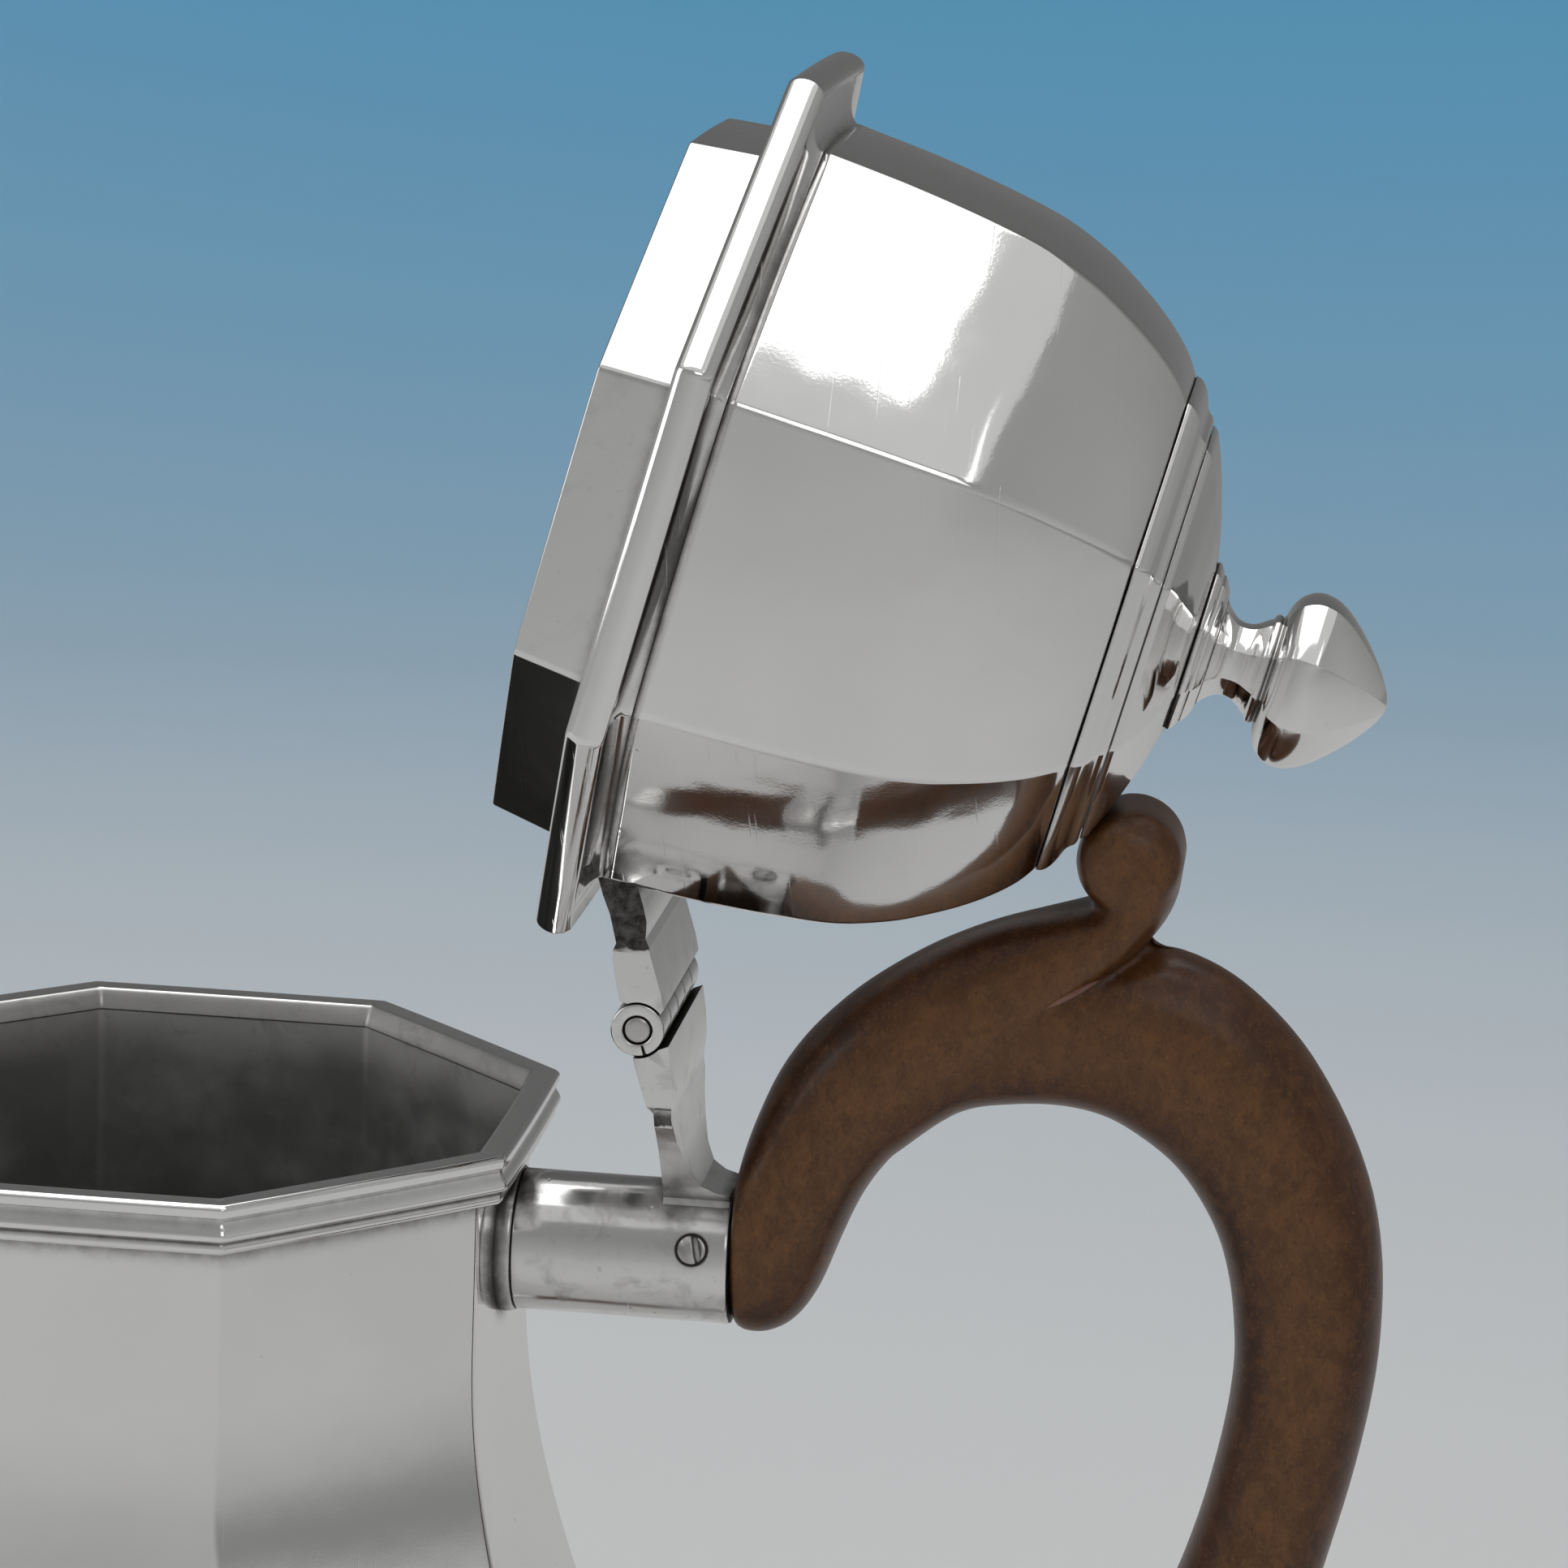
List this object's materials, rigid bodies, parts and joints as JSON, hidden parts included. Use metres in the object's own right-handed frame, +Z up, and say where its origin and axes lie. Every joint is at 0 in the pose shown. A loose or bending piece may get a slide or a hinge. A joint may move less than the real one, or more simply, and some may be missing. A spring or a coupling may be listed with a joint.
{
  "type": "coffee pot",
  "caption": "Octagonal baluster silver coffee pot with a swan-neck spout, a carved wooden scroll handle and a tall hinged dome lid with a bud finial.",
  "frame": {"origin": "on the pot's vertical axis, at the underside of the foot", "axes": "+Z up, +X towards the handle, -X towards the spout"},
  "size_m": [0.2365, 0.1164, 0.2898],
  "materials": {
    "polished_silver": "polished, with fine handling scratches",
    "worn_silver": "dull, with tarnish in the joints",
    "fruitwood": "satin, with fine grain"
  },
  "bodies": {
    "pot": {"pot_body": "polished_silver", "base_plate": "worn_silver", "foot": "polished_silver", "foot_edge": "polished_silver", "rim_ring": "polished_silver", "rim_moulding": "polished_silver", "spout_plate": "polished_silver", "spout": "polished_silver", "spout_lip": "polished_silver", "upper_socket": "worn_silver", "upper_collar": "worn_silver", "lower_socket": "worn_silver", "lower_collar": "worn_silver", "handle": "fruitwood", "upper_handle_pin": "worn_silver", "lower_handle_pin": "worn_silver", "hinge_bracket": "worn_silver", "pot_knuckles": "worn_silver", "hinge_pin": "worn_silver"},
    "lid": {"lid_strap": "worn_silver", "lid_knuckles": "worn_silver", "lid_bezel": "worn_silver", "lid_flange": "polished_silver", "lid_dome": "polished_silver", "cap_moulding": "polished_silver", "lid_cap": "polished_silver", "finial_base": "polished_silver", "finial": "polished_silver"}
  },
  "joints": [
    {"name": "lid_hinge", "type": "hinge", "parent": "pot", "child": "lid", "pos_m": [0.05378, 0, 0.1912], "axis": [0, 1, 0], "range_deg": [-104.8, 0]}
  ]
}
